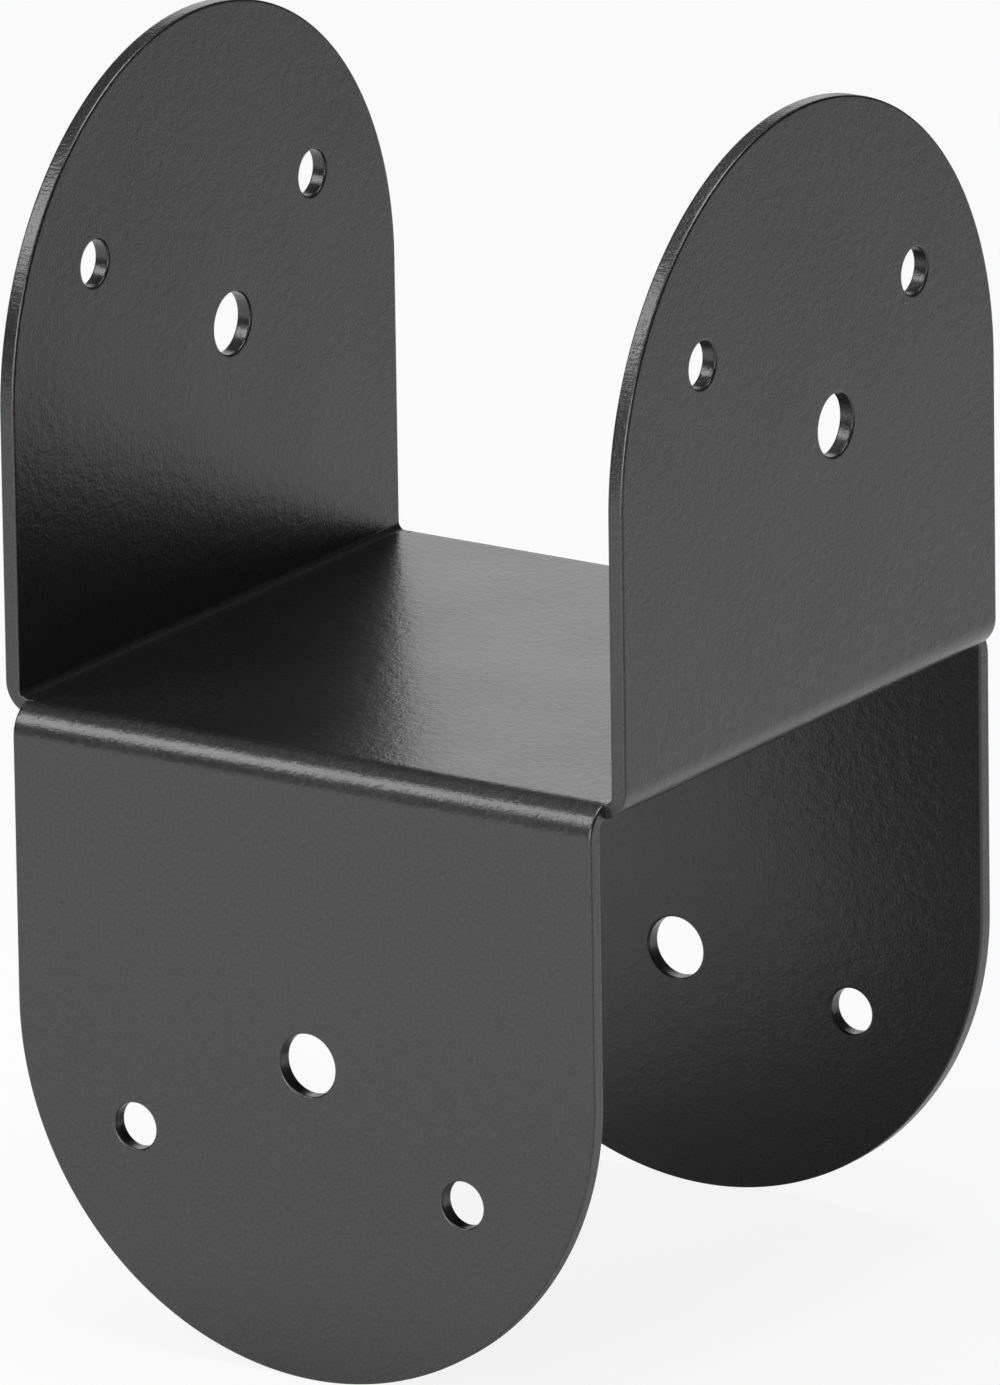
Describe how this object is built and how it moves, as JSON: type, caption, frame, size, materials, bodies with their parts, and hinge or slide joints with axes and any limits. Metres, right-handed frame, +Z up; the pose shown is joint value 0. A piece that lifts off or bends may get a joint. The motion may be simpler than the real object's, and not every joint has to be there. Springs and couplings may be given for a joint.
{
  "type": "double u post and beam bracket",
  "caption": "Folded steel saddle with two U channels back to back at right angles, round-ended wings and bolt and screw holes, for fixing a beam across a post.",
  "frame": {"origin": "centre of the web's underside, the seat that lies on the top of the post", "axes": "+Z up as installed; the beam lies along Y between the two upper wings at +X and -X; the post stands between the two lower wings at -Y, the front, and +Y, the back"},
  "size_m": [0.0944, 0.0944, 0.1642],
  "materials": {
    "black_powder_coat": "satin fine texture powder coat"
  },
  "bodies": {
    "root": {"folded_bracket": "black_powder_coat"}
  },
  "joints": []
}
